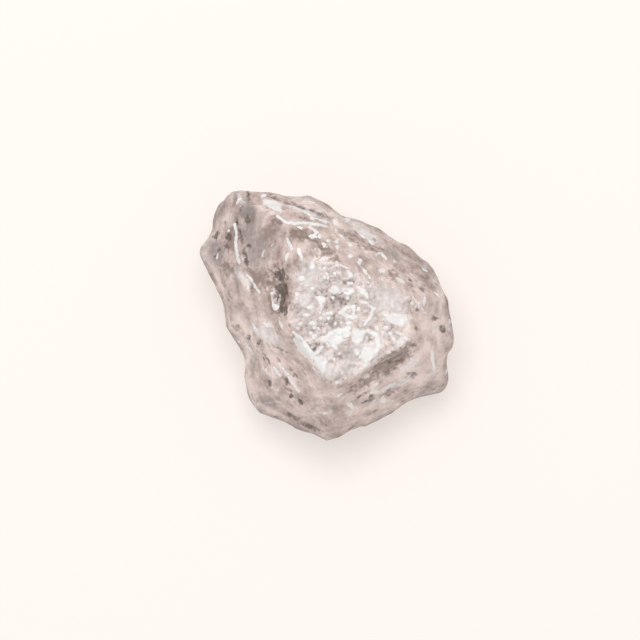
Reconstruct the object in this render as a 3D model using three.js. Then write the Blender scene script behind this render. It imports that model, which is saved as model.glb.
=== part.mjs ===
// A rough morganite crystal: one angular broken piece of pale pink beryl, lying on its flattest side.
// Millimetres, +Z up. The origin is on the surface that the stone lies on, under the middle of its box.
// The stone is the hull of its corners, broken flat across some of them and worn along the edges, with lumps,
// ledges, shell-shaped breaks and hollows laid over its faces.

import * as THREE from "three";
import { ConvexGeometry } from "three/addons/geometries/ConvexGeometry.js";
import { mergeVertices } from "three/addons/utils/BufferGeometryUtils.js";

// Driving dimensions.
const CENTRE = new THREE.Vector3(0, 0, 6.2); // every part of the surface can be seen from here
const BASE_DEPTH = 0.5; // how far the hull reaches below the flat that the stone rests on
const EDGE_WEAR = 60; // the higher this is, the sharper the edges between faces
const MESH_DETAIL = 20; // divisions along an edge of the starting icosahedron

// The outline's corners as seen from above, clockwise from the top, each at its own height.
const OUTLINE = {
  peak_left: [-7.5, 10.25, 7.4],
  peak_right: [-4.5, 10.15, 8.2],
  brow: [-0.6, 9.45, 7.2],
  shoulder: [7.0, 5.75, 6.0],
  cheek: [9.3, 3.15, 7.0],
  right_upper: [10.15, 1.1, 7.4],
  right: [10.3, -1.8, 6.6],
  heel_upper: [10.0, -5.7, 4.6],
  heel: [9.45, -6.45, 4.2],
  toe: [0.1, -10.35, 6.4],
  left_foot: [-5.3, -8.1, 4.6],
  left_ankle: [-6.5, -6.8, 4.2],
  nub: [-10.35, 5.4, 6.4],
  nub_top: [-8.8, 9.1, 5.4],
};

// The corners of the top: the frosted face and the small face above it.
const CREST = {
  left: [-3.0, -0.5, 13.0],
  tip: [0.65, -5.85, 11.4],
  right: [6.3, -2.5, 11.6],
  upper_right: [7.4, 1.3, 11.1],
  middle: [1.85, 3.85, 13.4],
  upper_left: [-2.2, 4.9, 13.6],
  ledge_left: [-3.5, 7.5, 12.2],
  ledge_right: [-1.2, 7.4, 12.1],
  apex: [-6.1, 8.7, 9.8],
};

// The corners of the sides below the outline, where they turn in under the stone.
const BELT = {
  back_left: [-6.8, 8.8, 2.6],
  back: [-1.4, 8.5, 2.8],
  back_right: [6.0, 4.8, 2.2],
  side_right: [9.2, 0.2, 2.8],
  heel_low: [8.5, -5.4, 1.5],
  front: [0.4, -9.2, 2.8],
  front_left: [-5.4, -6.9, 1.6],
  side_left: [-8.8, 3.6, 2.6],
};

// The corners of the underside, where the sides run in to the flat that it rests on.
const FOOT = {
  back_left: [-5.3, 6.6, -BASE_DEPTH],
  back: [-0.4, 6.8, -BASE_DEPTH],
  back_right: [4.6, 3.6, -BASE_DEPTH],
  side_right: [6.9, -0.6, -BASE_DEPTH],
  front_right: [6.0, -4.4, -BASE_DEPTH],
  front: [0.6, -6.9, -BASE_DEPTH],
  front_left: [-4.3, -5.1, -BASE_DEPTH],
  side_left: [-6.9, 2.5, -BASE_DEPTH],
};

// Flat breaks across corners and edges: each faces its own way, and goes this deep into the farthest corner.
const BREAKS = {
  front: { way: [0.1, -0.8, -0.6], depth: 0.4 },
  heel: { way: [0.6, -0.4, -0.7], depth: 0.4 },
  right: { way: [0.8, 0.1, -0.6], depth: 0.4 },
  back_right: { way: [0.55, 0.5, -0.67], depth: 0.45 },
  back: { way: [0.15, 0.8, -0.58], depth: 0.4 },
  back_left: { way: [-0.5, 0.6, -0.62], depth: 0.35 },
  left: { way: [-0.8, -0.25, -0.55], depth: 0.4 },
  left_foot: { way: [-0.45, -0.65, -0.62], depth: 0.45 },
  ledge: { way: [0.25, 0.82, 0.5], depth: 0.3 },
};

// Low swells over the whole stone: each is a wave of its own length, running its own way.
const LUMPS = [
  { length: 6.3, way: [0.8, 0.5, 0.3], rise: 0.08 },
  { length: 5.1, way: [-0.6, 0.7, 0.4], rise: 0.08 },
  { length: 4.2, way: [0.2, -0.5, 0.85], rise: 0.06 },
  { length: 3.3, way: [0.7, -0.65, 0.3], rise: 0.05 },
  { length: 2.7, way: [0.45, 0.85, -0.25], rise: 0.04 },
  { length: 2.2, way: [-0.85, 0.3, 0.45], rise: 0.035 },
];

// Growth ledges run round the sides at even heights, and stand out most on the striated left flank.
const LEDGE_SPACING = 1.55;
const LEDGE_RISE = 0.05;
const LEDGE_WAVER = 8; // how strongly the lumps bend a ledge up and down, in radians per millimetre
const LEDGE_BITE = 0.4; // how much steeper a ledge's riser is than its tread
const LEDGE_BOTTOM = 1.5;
const LEDGE_TOP = 11.4;
const LEDGE_FADE = 1.4; // height over which the ledges fade out at the bottom and the top
const LEDGE_SIDE = new THREE.Vector2(-0.86, 0.51); // towards the flank where they stand out
const LEDGE_FAINT = 0.3; // their strength on the opposite side

// Shell-shaped breaks over the sides: shallow bowls, spread evenly, that meet in low ridges.
const SHELL_COUNT = 150;
const SHELL_RISE = 0.12; // how far a bowl rises at SHELL_REACH from its middle
const SHELL_REACH = 1.5;
const SHELL_LEVEL = 0.5; // share of that rise at which a bowl cuts as much as its ridge leaves
const SHELL_TOP = 11.4; // the frosted face above this height has none
const SHELL_FADE = 1.4;
const GOLDEN_ANGLE = Math.PI * (3 - Math.sqrt(5));
const CHANCE_STEP = 12.9898;
const CHANCE_SCALE = 43758.5453;

// Hollows and knobs: an egg of this half length along its own way and this half width, raised or sunk.
const SPOTS = {
  dark_pit: { at: [-3.8, 2.0, 12.3], way: [0.08, -1, -0.05], length: 2.0, width: 0.75, rise: -0.6 },
  shell_break: { at: [4.7, -4.2, 10.0], way: [0.9, 0.42, 0.1], length: 2.7, width: 1.0, rise: -0.5 },
  waist: { at: [-7.2, -3.6, 5.8], way: [0, 0, 1], length: 3.4, width: 2.1, rise: -0.75 },
  left_side: { at: [-9.4, 2.2, 6.0], way: [0.2, -0.95, 0], length: 2.6, width: 2.0, rise: -0.4 },
  temple: { at: [-9.6, 7.2, 6.2], way: [0, 0, 1], length: 2.6, width: 1.0, rise: -0.2 },
  nub_tip: { at: [-10.2, 5.0, 6.0], way: [0, 0, 1], length: 2.0, width: 1.0, rise: 0.3 },
  brow_notch: { at: [1.3, 8.4, 7.6], way: [0, 0, 1], length: 2.0, width: 0.9, rise: -0.2 },
  heel_notch: { at: [10.0, -3.6, 5.8], way: [0, 0, 1], length: 2.4, width: 1.1, rise: -0.25 },
  instep: { at: [7.3, -6.9, 5.2], way: [0, 0, 1], length: 2.4, width: 1.3, rise: -0.25 },
  apex_dimple: { at: [-6.3, 8.0, 9.7], way: [0.2, -1, 0.2], length: 1.3, width: 0.8, rise: -0.3 },
  back_break: { at: [3.4, 6.8, 3.8], way: [0.9, -0.4, 0], length: 3.6, width: 2.0, rise: -0.6 },
  left_break: { at: [-8.2, 0.6, 3.4], way: [0.2, -0.95, 0.2], length: 3.2, width: 1.8, rise: -0.6 },
  front_break: { at: [3.4, -8.0, 3.2], way: [0.95, 0.3, 0], length: 3.4, width: 1.8, rise: -0.6 },
};

function cornerPoints(...groups) {
  return groups.flatMap((group) => Object.values(group)).map((corner) => new THREE.Vector3(...corner));
}

// The flat faces between the corners, as planes with their distances from the centre.
function hullFaces(points) {
  const position = new ConvexGeometry(points).getAttribute("position");
  const faces = [];
  for (let i = 0; i < position.count; i += 3) {
    const corners = [0, 1, 2].map((k) => new THREE.Vector3().fromBufferAttribute(position, i + k));
    const plane = new THREE.Plane().setFromCoplanarPoints(...corners);
    faces.push({ normal: plane.normal, distance: -plane.distanceToPoint(CENTRE) });
  }
  return faces;
}

// The flat breaks, as planes with their distances from the centre.
function breakFaces(points) {
  return Object.values(BREAKS).map(({ way, depth }) => {
    const normal = new THREE.Vector3(...way).normalize();
    const farthest = Math.max(...points.map((point) => point.clone().sub(CENTRE).dot(normal)));
    return { normal, distance: farthest - depth };
  });
}

// How far the worn hull reaches from the centre along a direction: a power mean of the faces, so that
// one face alone is flat and two that meet are rounded off.
function hullReach(direction, faces) {
  let sum = 0;
  for (const { normal, distance } of faces) {
    const nearness = normal.dot(direction) / distance;
    sum += Math.max(nearness, 0) ** EDGE_WEAR;
  }
  return sum ** (-1 / EDGE_WEAR);
}

// The swells: a sum of sine waves, each started at a different point by its place in the list.
function lumps(point) {
  let rise = 0;
  LUMPS.forEach((wave, i) => {
    const along = new THREE.Vector3(...wave.way).normalize().dot(point);
    rise += wave.rise * Math.sin((2 * Math.PI * along) / wave.length + i);
  });
  return rise;
}

// The ledges: a tread that grows outwards with height, then a riser that drops back.
function ledges(point, swell) {
  const turn = (2 * Math.PI * point.z) / LEDGE_SPACING + LEDGE_WAVER * swell;
  const tread = Math.sin(turn) + LEDGE_BITE * Math.sin(2 * turn);
  const above = THREE.MathUtils.smoothstep(point.z, LEDGE_BOTTOM, LEDGE_BOTTOM + LEDGE_FADE);
  const below = 1 - THREE.MathUtils.smoothstep(point.z, LEDGE_TOP - LEDGE_FADE, LEDGE_TOP);
  const facing = new THREE.Vector2(point.x, point.y).normalize().dot(LEDGE_SIDE);
  const strength = THREE.MathUtils.lerp(LEDGE_FAINT, 1, (facing + 1) / 2);
  return LEDGE_RISE * strength * above * below * tread;
}

// A number from 0 to 1 that looks random, and is the same every time.
function chance(k) {
  const far = Math.sin(k * CHANCE_STEP) * CHANCE_SCALE;
  return far - Math.floor(far);
}

// The middles of the shell-shaped breaks: a golden spiral from top to bottom, each nudged off its place.
function shellMiddles(faces) {
  return Array.from({ length: SHELL_COUNT }, (_, k) => {
    const height = 1 - (2 * (k + chance(k))) / SHELL_COUNT;
    const turn = k * GOLDEN_ANGLE + chance(k + SHELL_COUNT);
    const ring = Math.sqrt(1 - height * height);
    const direction = new THREE.Vector3(ring * Math.cos(turn), ring * Math.sin(turn), height);
    return direction.clone().multiplyScalar(hullReach(direction, faces)).add(CENTRE);
  });
}

// The shell-shaped breaks: the bowl around the nearest middle.
function shells(point, middles) {
  const nearest = Math.min(...middles.map((middle) => middle.distanceToSquared(point)));
  const below = 1 - THREE.MathUtils.smoothstep(point.z, SHELL_TOP - SHELL_FADE, SHELL_TOP);
  return SHELL_RISE * below * (nearest / SHELL_REACH ** 2 - SHELL_LEVEL);
}

// The hollows and knobs: each fades with a bell curve over its egg.
function spots(point) {
  let rise = 0;
  for (const spot of Object.values(SPOTS)) {
    const away = point.clone().sub(new THREE.Vector3(...spot.at));
    const along = away.dot(new THREE.Vector3(...spot.way).normalize());
    const aside = away.lengthSq() - along * along;
    rise += spot.rise * Math.exp(-((along / spot.length) ** 2) - aside / spot.width ** 2);
  }
  return rise;
}

function stoneGeometry() {
  const corners = cornerPoints(OUTLINE, CREST, BELT, FOOT);
  const faces = [...hullFaces(corners), ...breakFaces(corners)];
  const middles = shellMiddles(faces);
  const ball = new THREE.IcosahedronGeometry(1, MESH_DETAIL);
  ball.deleteAttribute("normal");
  ball.deleteAttribute("uv");
  const geometry = mergeVertices(ball);
  const position = geometry.getAttribute("position");
  for (let i = 0; i < position.count; i += 1) {
    const direction = new THREE.Vector3().fromBufferAttribute(position, i).normalize();
    const point = direction.clone().multiplyScalar(hullReach(direction, faces)).add(CENTRE);
    const swell = lumps(point);
    const rise = swell + ledges(point, swell) + shells(point, middles) + spots(point);
    point.addScaledVector(direction, rise);
    position.setXYZ(i, point.x, point.y, Math.max(point.z, 0));
  }
  geometry.computeBoundingBox();
  const middle = geometry.boundingBox.getCenter(new THREE.Vector3());
  geometry.translate(-middle.x, -middle.y, 0);
  geometry.computeVertexNormals();
  return geometry;
}

const stone = new THREE.Mesh(
  stoneGeometry(),
  new THREE.MeshStandardMaterial({ color: 0xc4b0a9, roughness: 0.45, metalness: 0, flatShading: true }),
);
stone.name = "morganite";

const part = new THREE.Group();
part.add(stone);

export default part;
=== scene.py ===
# %% [markdown]
# # A rough morganite crystal
# Morganite is the pink kind of beryl. This piece is as it came out of the ground: broken faces, worn edges,
# one face eaten to a white frost, and flanks with growth lines. A stone could be sculpted by hand, but then
# nobody could see how it was done. Here it is worked out with numpy instead, one layer of relief at a time,
# and the finish is mixed from masks that come from the same layers.

# %% The frame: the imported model, which sets the size and the place of everything
import itertools

import bpy
import numpy as np
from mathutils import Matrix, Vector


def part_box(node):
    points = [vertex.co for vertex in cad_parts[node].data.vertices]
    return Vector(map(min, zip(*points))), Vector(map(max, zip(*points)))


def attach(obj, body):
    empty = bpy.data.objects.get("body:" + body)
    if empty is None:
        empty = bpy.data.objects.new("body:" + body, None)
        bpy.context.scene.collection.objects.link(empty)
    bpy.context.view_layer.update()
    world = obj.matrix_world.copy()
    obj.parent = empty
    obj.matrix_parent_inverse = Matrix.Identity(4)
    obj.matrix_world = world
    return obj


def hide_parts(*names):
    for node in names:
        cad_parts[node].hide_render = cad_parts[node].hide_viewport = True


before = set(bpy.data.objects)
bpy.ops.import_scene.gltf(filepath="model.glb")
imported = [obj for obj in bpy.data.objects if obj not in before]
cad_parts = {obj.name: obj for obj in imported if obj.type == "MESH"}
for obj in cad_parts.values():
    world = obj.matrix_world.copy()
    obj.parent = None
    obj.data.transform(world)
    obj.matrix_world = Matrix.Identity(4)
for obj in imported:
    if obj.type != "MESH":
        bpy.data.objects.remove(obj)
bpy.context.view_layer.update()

MM = 0.001
cad_low, cad_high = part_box("morganite")
print("the stone's box in mm:", np.round((np.array(cad_high) - np.array(cad_low)) / MM, 2))

# %% [markdown]
# ## The corners
# A broken crystal is mostly flat faces that meet at corners, so the corners are the shortest true
# description of it. They are the same ones that the solid model has, in millimetres: the outline seen from
# above, the rim of the frosted face on top, the belt where the sides turn in, and the foot.

# %% Corners in millimetres
CENTRE = np.array([0.0, 0.0, 6.2])
BASE_DEPTH = 0.5
OUTLINE = {
    "peak_left": (-7.5, 10.25, 7.4),
    "peak_right": (-4.5, 10.15, 8.2),
    "brow": (-0.6, 9.45, 7.2),
    "shoulder": (7.0, 5.75, 6.0),
    "cheek": (9.3, 3.15, 7.0),
    "right_upper": (10.15, 1.1, 7.4),
    "right": (10.3, -1.8, 6.6),
    "heel_upper": (10.0, -5.7, 4.6),
    "heel": (9.45, -6.45, 4.2),
    "toe": (0.1, -10.35, 6.4),
    "left_foot": (-5.3, -8.1, 4.6),
    "left_ankle": (-6.5, -6.8, 4.2),
    "nub": (-10.35, 5.4, 6.4),
    "nub_top": (-8.8, 9.1, 5.4),
}
FROSTED_FACE = {
    "left": (-3.0, -0.5, 13.0),
    "tip": (0.65, -5.85, 11.4),
    "right": (6.3, -2.5, 11.6),
    "upper_right": (7.4, 1.3, 11.1),
    "middle": (1.85, 3.85, 13.4),
    "upper_left": (-2.2, 4.9, 13.6),
}
TOP_LEDGE = {
    "ledge_left": (-3.5, 7.5, 12.2),
    "ledge_right": (-1.2, 7.4, 12.1),
    "apex": (-6.1, 8.7, 9.8),
}
BELT = {
    "back_left": (-6.8, 8.8, 2.6),
    "back": (-1.4, 8.5, 2.8),
    "back_right": (6.0, 4.8, 2.2),
    "side_right": (9.2, 0.2, 2.8),
    "heel_low": (8.5, -5.4, 1.5),
    "front": (0.4, -9.2, 2.8),
    "front_left": (-5.4, -6.9, 1.6),
    "side_left": (-8.8, 3.6, 2.6),
}
FOOT = {
    "back_left": (-5.3, 6.6, -BASE_DEPTH),
    "back": (-0.4, 6.8, -BASE_DEPTH),
    "back_right": (4.6, 3.6, -BASE_DEPTH),
    "side_right": (6.9, -0.6, -BASE_DEPTH),
    "front_right": (6.0, -4.4, -BASE_DEPTH),
    "front": (0.6, -6.9, -BASE_DEPTH),
    "front_left": (-4.3, -5.1, -BASE_DEPTH),
    "side_left": (-6.9, 2.5, -BASE_DEPTH),
}
corner_groups = (OUTLINE, FROSTED_FACE, TOP_LEDGE, BELT, FOOT)
corners = np.array([corner for group in corner_groups for corner in group.values()])
print(len(corners), "corners")

# %% [markdown]
# ## The flat faces
# Between the corners lie flat faces. Blender has a convex hull operator, but the planes themselves are what
# is needed here, and they are easy to find: a plane through three corners is a face if no corner is outside
# it. All the trios are tried at once. Nine more planes cut across corners where the stone broke flat.

# %% Planes of the hull
TOUCH = 1e-6
PLANE_DIGITS = 6
BREAKS = {
    "front": ((0.1, -0.8, -0.6), 0.4),
    "heel": ((0.6, -0.4, -0.7), 0.4),
    "right": ((0.8, 0.1, -0.6), 0.4),
    "back_right": ((0.55, 0.5, -0.67), 0.45),
    "back": ((0.15, 0.8, -0.58), 0.4),
    "back_left": ((-0.5, 0.6, -0.62), 0.35),
    "left": ((-0.8, -0.25, -0.55), 0.4),
    "left_foot": ((-0.45, -0.65, -0.62), 0.45),
    "ledge": ((0.25, 0.82, 0.5), 0.3),
}


def unit(way):
    """The same way with a length of one."""
    return np.array(way) / np.linalg.norm(way)


def hull_faces(points):
    """Planes as rows of normal and distance from CENTRE: those through three corners with none outside."""
    trios = np.array(list(itertools.combinations(range(len(points)), 3)))
    first, second, third = points[trios].transpose(1, 0, 2)
    normal = np.cross(second - first, third - first)
    normal /= np.linalg.norm(normal, axis=1, keepdims=True)
    distance = np.einsum("ij,ij->i", normal, first - CENTRE)
    outward = np.sign(distance)[:, None]
    normal, distance = normal * outward, np.abs(distance)
    inside = (normal @ (points - CENTRE).T).max(1) < distance + TOUCH
    return np.unique(np.round(np.column_stack([normal, distance])[inside], PLANE_DIGITS), axis=0)


def break_faces(points):
    """Planes of the flat breaks: across each way, a depth short of the farthest corner along it."""
    normal = np.array([unit(way) for way, depth in BREAKS.values()])
    depth = np.array([depth for way, depth in BREAKS.values()])
    return np.column_stack([normal, (normal @ (points - CENTRE).T).max(1) - depth])


faces = np.vstack([hull_faces(corners), break_faces(corners)])
print(len(faces), "flat faces")

# %% [markdown]
# ## A ball of six grids
# The surface needs two parameters. Circles of latitude would crowd together at a pole right on the frosted
# face, so the ball is made as a cube is: six square grids, each point pushed out to the ball. Lifting the
# ball before its points become directions packs them closer on top, where the fine crystals are.

# %% Directions over the ball
GRID_STEPS = 128
LIFT = 0.3
WELD_DIGITS = 9


def cube_ball(steps):
    """Directions and quads: on each cube side two parameters run from -1 to 1 as tan() of even angles."""
    even = np.tan(np.linspace(-np.pi / 4, np.pi / 4, steps + 1))
    a, b = np.meshgrid(even, even, indexing="ij")
    one = np.ones_like(a)
    sides = [(a, b, one), (b, a, -one), (one, a, b), (-one, b, a), (b, one, a), (a, -one, b)]
    points = np.stack([np.stack(side, axis=-1) for side in sides]).reshape(-1, 3)
    points /= np.linalg.norm(points, axis=1, keepdims=True)
    number = np.arange(len(points)).reshape(6, steps + 1, steps + 1)
    ring = (number[:, :-1, :-1], number[:, 1:, :-1], number[:, 1:, 1:], number[:, :-1, 1:])
    quads = np.stack(ring, axis=-1).reshape(-1, 4)
    points, welded = np.unique(np.round(points, WELD_DIGITS), axis=0, return_inverse=True)
    points = points + np.array([0, 0, LIFT])
    return points / np.linalg.norm(points, axis=1, keepdims=True), welded.reshape(-1)[quads]


direction, quads = cube_ball(GRID_STEPS)
print(len(direction), "points and", 2 * len(quads), "triangles")

# %% [markdown]
# ## The worn hull
# How far is it from the centre to the surface along a direction? To one plane it is the plane's distance
# over the cosine. The nearest plane gives a razor edge, and a power mean of all of them rounds that edge as
# wear does, without moving the flat faces. Where two planes are almost equally near, a point is on an edge.

# %% The hull as a function of direction
EDGE_WEAR = 100
EDGE_FROM, EDGE_TO = 0.975, 0.998
TURN_FROM, TURN_TO = 0.04, 0.2


def nearness(direction):
    """Cosine over distance for every direction and plane: the largest one is the plane that is met first."""
    return np.clip(direction @ faces[:, :3].T / faces[:, 3], 0, None)


def worn_hull(direction):
    """Points of the hull: CENTRE plus direction over the power mean of the nearness of every plane."""
    reach = (nearness(direction) ** EDGE_WEAR).sum(1) ** (-1 / EDGE_WEAR)
    return CENTRE + direction * reach[:, None]


def smooth(value, low, high):
    """0 below low, 1 above high, and an S-shaped rise between them."""
    part = np.clip((value - low) / (high - low), 0, 1)
    return part * part * (3 - 2 * part)


def hull_edges(direction):
    """1 on an edge of the hull: the two nearest planes are as near as each other, and turned well apart."""
    near = nearness(direction)
    second, first = np.argsort(near, axis=1)[:, -2:].T
    every = np.arange(len(direction))
    turned = 1 - (faces[first, :3] * faces[second, :3]).sum(1)
    alike = near[every, second] / near[every, first]
    return smooth(alike, EDGE_FROM, EDGE_TO) * smooth(turned, TURN_FROM, TURN_TO)


hull = worn_hull(direction)
hull_edge = hull_edges(direction)
print("hull from", np.round(hull.min(0), 2), "to", np.round(hull.max(0), 2), "mm")

# %% [markdown]
# ## Lumps and ledges
# These are shapes that show from a step away, and the solid model has them too. A displacement texture could
# make them, but sums of sines can be placed and sized one by one. Lumps are a few waves that run in different
# ways. Ledges are a wave along the height, so they run round the stone like contour lines on a map.

# %% Waves over the hull
LUMPS = [
    (6.3, (0.8, 0.5, 0.3), 0.08),
    (5.1, (-0.6, 0.7, 0.4), 0.08),
    (4.2, (0.2, -0.5, 0.85), 0.06),
    (3.3, (0.7, -0.65, 0.3), 0.05),
    (2.7, (0.45, 0.85, -0.25), 0.04),
    (2.2, (-0.85, 0.3, 0.45), 0.035),
]
LEDGE_SPACING = 1.55
LEDGE_RISE = 0.05
LEDGE_WAVER = 8
LEDGE_BITE = 0.4
LEDGE_BOTTOM, LEDGE_TOP, LEDGE_FADE = 1.5, 11.4, 1.4
LEDGE_SIDE = np.array([-0.86, 0.51])
LEDGE_FAINT = 0.3


def lumps(points):
    """A sum of sines of the distance along each wave's way."""
    waves = [
        rise * np.sin(2 * np.pi * (points @ unit(way)) / length + place)
        for place, (length, way, rise) in enumerate(LUMPS)
    ]
    return np.sum(waves, axis=0)


def ledges(points, swell):
    """A sine of the height with a faster sine that steepens one side, strongest on the left flank."""
    turn = 2 * np.pi * points[:, 2] / LEDGE_SPACING + LEDGE_WAVER * swell
    tread = np.sin(turn) + LEDGE_BITE * np.sin(2 * turn)
    above = smooth(points[:, 2], LEDGE_BOTTOM, LEDGE_BOTTOM + LEDGE_FADE)
    below = 1 - smooth(points[:, 2], LEDGE_TOP - LEDGE_FADE, LEDGE_TOP)
    radius = np.maximum(np.linalg.norm(points[:, :2], axis=1), TOUCH)
    facing = points[:, :2] @ LEDGE_SIDE / radius
    strength = LEDGE_FAINT + (1 - LEDGE_FAINT) * (facing + 1) / 2
    return LEDGE_RISE * strength * above * below * tread


swell = lumps(hull)
broad = swell + ledges(hull, swell)
print("lumps and ledges from", np.round(broad.min(), 2), "to", np.round(broad.max(), 2), "mm")

# %% [markdown]
# ## Hollows and knobs
# The dark pit beside the face, the waist and the breaks are hollows, and the nub ends in a knob. Each could
# be carved with a boolean, which leaves a hard seam. A bell curve in the shape of an egg has none: it is
# given by a place, a way, a half length, a half width and a height. The solid model has all of them but the
# worn tip of the toe.

# %% Bell curves on the hull
SPOTS = {
    "dark_pit": ((-3.8, 2.0, 12.3), (0.08, -1, -0.05), 2.0, 0.75, -0.6),
    "shell_break": ((4.7, -4.2, 10.0), (0.9, 0.42, 0.1), 2.7, 1.0, -0.5),
    "waist": ((-7.2, -3.6, 5.8), (0, 0, 1), 3.4, 2.1, -0.75),
    "left_side": ((-9.4, 2.2, 6.0), (0.2, -0.95, 0), 2.6, 2.0, -0.4),
    "temple": ((-9.6, 7.2, 6.2), (0, 0, 1), 2.6, 1.0, -0.2),
    "nub_tip": ((-10.2, 5.0, 6.0), (0, 0, 1), 2.0, 1.0, 0.3),
    "brow_notch": ((1.3, 8.4, 7.6), (0, 0, 1), 2.0, 0.9, -0.2),
    "heel_notch": ((10.0, -3.6, 5.8), (0, 0, 1), 2.4, 1.1, -0.25),
    "instep": ((7.3, -6.9, 5.2), (0, 0, 1), 2.4, 1.3, -0.25),
    "apex_dimple": ((-6.3, 8.0, 9.7), (0.2, -1, 0.2), 1.3, 0.8, -0.3),
    "back_break": ((3.4, 6.8, 3.8), (0.9, -0.4, 0), 3.6, 2.0, -0.6),
    "left_break": ((-8.2, 0.6, 3.4), (0.2, -0.95, 0.2), 3.2, 1.8, -0.6),
    "front_break": ((3.4, -8.0, 3.2), (0.95, 0.3, 0), 3.4, 1.8, -0.6),
    "toe_tip": ((0.15, -10.3, 6.2), (0, 0.1, 1), 2.2, 0.6, -0.1),
}


def spots(points):
    """A sum of bell curves of the distance along and aside of each spot's own way."""
    rise = np.zeros(len(points))
    for at, way, length, width, height in SPOTS.values():
        away = points - np.array(at)
        along = away @ unit(way)
        aside = (away**2).sum(1) - along**2
        rise += height * np.exp(-((along / length) ** 2) - aside / width**2)
    return rise


broad += spots(hull)
print("broad relief from", np.round(broad.min(), 2), "to", np.round(broad.max(), 2), "mm")

# %% [markdown]
# ## Shell-shaped breaks
# Beryl breaks like thick glass, in shallow bowls that meet in sharp ridges. One middle for each bowl is laid
# on a golden spiral, which spreads points evenly over a ball, and is nudged off its place by a number that
# looks random but never changes. A bowl is the squared distance from its middle, and the nearest bowl wins.
# Last, the stone is moved so that its box is over the origin, as the solid's is.

# %% Bowls and ridges
SHELL_COUNT = 150
SHELL_RISE, SHELL_REACH, SHELL_LEVEL = 0.12, 1.5, 0.5
SHELL_TOP, SHELL_FADE = 11.4, 1.4
GOLDEN_ANGLE = np.pi * (3 - np.sqrt(5))
SINE_STEP, SINE_REACH = 12.9898, 43758.5453
BOX_MIDDLE = np.array([0.07, -0.05, 0])


def chance(numbers):
    """A number from 0 to 1 for each whole number: the fraction that a long sine leaves."""
    far = np.sin(numbers * SINE_STEP) * SINE_REACH
    return far - np.floor(far)


def shell_middles():
    """Points of the hull on a golden spiral from top to bottom, each nudged by its own chance."""
    number = np.arange(SHELL_COUNT)
    height = 1 - 2 * (number + chance(number)) / SHELL_COUNT
    turn = number * GOLDEN_ANGLE + chance(number + SHELL_COUNT)
    ring = np.sqrt(1 - height**2)
    return worn_hull(np.stack([ring * np.cos(turn), ring * np.sin(turn), height], axis=1))


def shells(points, middles):
    """Squared distance to the nearest middle, how much farther the next one is, and the nearest's chance."""
    square = (points**2).sum(1)[:, None] + (middles**2).sum(1) - 2 * points @ middles.T
    owner = square.argmin(1)
    nearest, next_one = np.maximum(np.partition(square, 1, axis=1)[:, :2].T, 0)
    return nearest, np.sqrt(next_one) - np.sqrt(nearest), chance(owner + 2 * SHELL_COUNT)


bowl, ridge_gap, shell_chance = shells(hull, shell_middles())
below_face = 1 - smooth(hull[:, 2], SHELL_TOP - SHELL_FADE, SHELL_TOP)
broad += SHELL_RISE * below_face * (bowl / SHELL_REACH**2 - SHELL_LEVEL)
body = hull + direction * broad[:, None] - BOX_MIDDLE
print("bowls reach", np.round(np.sqrt(bowl.max()), 2), "mm from their middles")

# %% [markdown]
# ## Chance that repeats
# Grains, cracks and stains look random, but the script has to give the same stone every time. So random
# numbers come from one seeded table, and a whole-number cell of space always picks the same number from it.
# A cloud eases between the cells' numbers. Three clouds bend the places of the points a little, and what is
# worked out from bent points has ragged borders.

# %% Clouds and bent points
CHANCE_SEED, CHANCE_COUNT = 35, 8192
CHANCE = np.random.default_rng(CHANCE_SEED).random(CHANCE_COUNT)
CELL_KEYS = np.array([73856093, 19349663, 83492791])
SEED_KEY = 7919
BEND, BEND_SIZE, BEND_SEED = 0.22, 0.9, 40


def cell_chance(cells, seed):
    """A number from 0 to 1 for each whole-number cell, looked up in the seeded table."""
    return CHANCE[(cells @ CELL_KEYS + SEED_KEY * seed) % len(CHANCE)]


def cloud(points, size, seed):
    """Soft noise from -1 to 1: the numbers of a cell's eight corners, eased into each other."""
    scaled = points / np.array(size)
    low = np.floor(scaled).astype(np.int64)
    ease = smooth(scaled - low, 0, 1)
    total = np.zeros(len(points))
    for corner in itertools.product((0, 1), repeat=3):
        weight = np.where(corner, ease, 1 - ease).prod(1)
        total += weight * cell_chance(low + np.array(corner), seed)
    return 2 * total - 1


def rough_cloud(points, size, seed, layers=3):
    """Clouds of halving size and halving strength on top of each other."""
    total = [cloud(points, np.array(size) / 2**k, seed + k) / 2**k for k in range(layers)]
    return np.sum(total, axis=0)


wander = np.stack([rough_cloud(body, BEND_SIZE, BEND_SEED + k) for k in range(3)], axis=1)
bent = body + BEND * wander
print("points are bent by up to", np.round(np.abs(bent - body).max(), 2), "mm")

# %% [markdown]
# ## Where things are
# A finish needs to know which part of the stone it is on. The frosted face is a polygon seen from above, and
# the distance inside its nearest side says how deep in the face a point is. The upper side is what lies above
# the outline. Using the bent points keeps every border from being a ruled line.

# %% Regions
OUTLINE_STEPS = 180
UPPER_FROM, UPPER_TO = -1.4, -0.3
FACE_FROM, FACE_TO = -0.15, 0.35
DENSE_FROM, DENSE_TO = 2.5, 6.0


def depth_inside(points, polygon):
    """Distance inside the nearest side of a polygon that runs anticlockwise, seen from above."""
    start = np.array(polygon)[:, :2]
    side = np.roll(start, -1, axis=0) - start
    length = np.linalg.norm(side, axis=1, keepdims=True)
    inward = np.stack([-side[:, 1], side[:, 0]], axis=1) / length
    return (points[:, :2] @ inward.T - (start * inward).sum(1)).min(1)


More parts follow.
